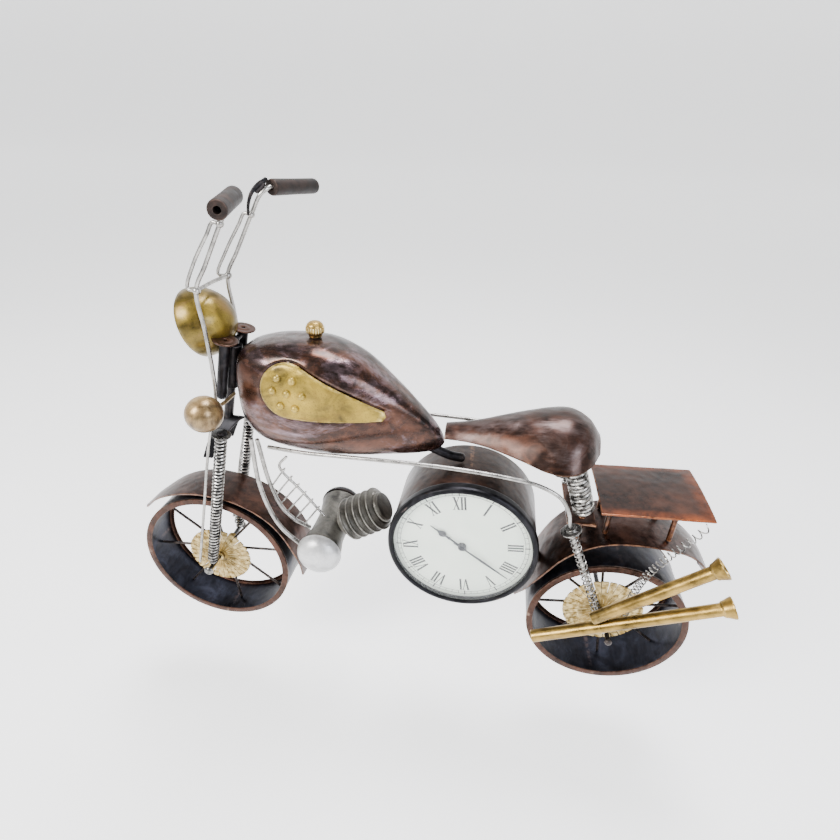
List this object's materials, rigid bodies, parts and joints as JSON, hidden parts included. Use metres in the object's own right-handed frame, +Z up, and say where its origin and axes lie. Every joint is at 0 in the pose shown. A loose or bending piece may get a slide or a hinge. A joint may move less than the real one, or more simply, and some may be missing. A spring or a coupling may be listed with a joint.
{
  "type": "motorcycle desk clock",
  "caption": "Handmade sheet-metal and wire model motorcycle carrying a round analogue clock in a drum amidships, with turning wheels and steering fork.",
  "frame": {"origin": "on the ground plane under the middle of the overall length and width", "axes": "+Z up, -X towards the front wheel, -Y the side the dial faces"},
  "size_m": [0.383, 0.1172, 0.2996],
  "materials": {
    "copper_sheet": "dark brown-copper lacquer, rubbed through in places",
    "wheel_paint": "blue-black band with copper-brown lips",
    "black_metal": "satin black paint",
    "grip_black": "worn black tube",
    "bright_wire": "bright wire, lightly tarnished",
    "dome_silver": "silver paint",
    "engine_grey": "dull grey-brown paint",
    "brass": "aged brass",
    "gold_paint": "mottled gold paint",
    "clear_glass": "flat clear glass",
    "lamp_lens": "pale gold lamp face",
    "dial_white": "printed white dial",
    "black_plastic": "moulded black plastic",
    "hand_black": "black painted hands",
    "battery_jacket": "plain battery jacket"
  },
  "bodies": {
    "frame": {"rear_fender": "copper_sheet", "clock_case": "copper_sheet", "tank_shell": "copper_sheet", "tank_base": "copper_sheet", "seat_shell": "copper_sheet", "rack": "copper_sheet", "backbone": "black_metal", "clock_bezel": "black_metal", "rear_axle": "bright_wire", "rail_left": "bright_wire", "rail_right": "bright_wire", "shock_left": "bright_wire", "shock_right": "bright_wire", "down_tube_left": "bright_wire", "down_tube_right": "bright_wire", "seat_spring_left": "bright_wire", "seat_spring_right": "bright_wire", "stretch_spring_left": "bright_wire", "stretch_spring_right": "bright_wire", "dome_left": "dome_silver", "dome_right": "dome_silver", "engine_barrel": "engine_grey", "crankcase": "engine_grey", "filler_cap": "brass", "exhaust_lower": "brass", "exhaust_upper": "brass", "tank_panel_left": "gold_paint", "tank_panel_right": "gold_paint", "clock_glass": "clear_glass", "clock_dial": "dial_white", "clock_movement": "black_plastic", "clock_battery": "battery_jacket"},
    "fork": {"front_axle": "bright_wire", "fork_tube_left": "black_metal", "fork_tube_right": "black_metal", "fork_cap_left": "copper_sheet", "fork_cap_right": "copper_sheet", "fork_rod_left": "black_metal", "fork_rod_right": "black_metal", "fork_spring_left": "bright_wire", "fork_spring_right": "bright_wire", "steering_stem": "black_metal", "fork_crown": "black_metal", "handlebar_left": "bright_wire", "handlebar_right": "bright_wire", "grip_left": "grip_black", "grip_right": "grip_black", "brake_lever": "black_metal", "lamp_left": "gold_paint", "lamp_right": "gold_paint", "headlight_bowl": "gold_paint", "headlight_lens": "lamp_lens", "front_fender": "copper_sheet"},
    "front_wheel": {"front_rim": "wheel_paint", "front_hub": "brass"},
    "rear_wheel": {"rear_rim": "wheel_paint", "rear_hub": "brass"},
    "minute_hand": {"minute_hand": "hand_black"},
    "hour_hand": {"hour_hand": "hand_black"},
    "setting_knob": {"setting_knob": "black_plastic"}
  },
  "joints": [
    {"name": "steering", "type": "hinge", "parent": "frame", "child": "fork", "pos_m": [-0.10861, 0, 0.2], "axis": [0.2198, 0, 0.9755], "range_deg": [-20, 20]},
    {"name": "front_wheel_spin", "type": "hinge", "parent": "fork", "child": "front_wheel", "pos_m": [-0.13615, 0, 0.05284], "axis": [0, 1, 0], "continuous": true},
    {"name": "rear_wheel_spin", "type": "hinge", "parent": "frame", "child": "rear_wheel", "pos_m": [0.13145, 0, 0.04985], "axis": [0, 1, 0], "continuous": true},
    {"name": "minute_hand_turn", "type": "hinge", "parent": "frame", "child": "minute_hand", "pos_m": [0.03605, -0.025, 0.105], "axis": [0, 1, 0], "continuous": true},
    {"name": "hour_hand_turn", "type": "hinge", "parent": "frame", "child": "hour_hand", "pos_m": [0.03605, -0.0245, 0.105], "axis": [0, 1, 0], "continuous": true},
    {"name": "setting_knob_turn", "type": "hinge", "parent": "frame", "child": "setting_knob", "pos_m": [0.05005, -0.003, 0.117], "axis": [0, 1, 0], "continuous": true}
  ],
  "couplings": [
    {"joint": "hour_hand_turn", "follows": "minute_hand_turn", "ratio": 0.083333},
    {"joint": "setting_knob_turn", "follows": "minute_hand_turn", "ratio": -1}
  ]
}
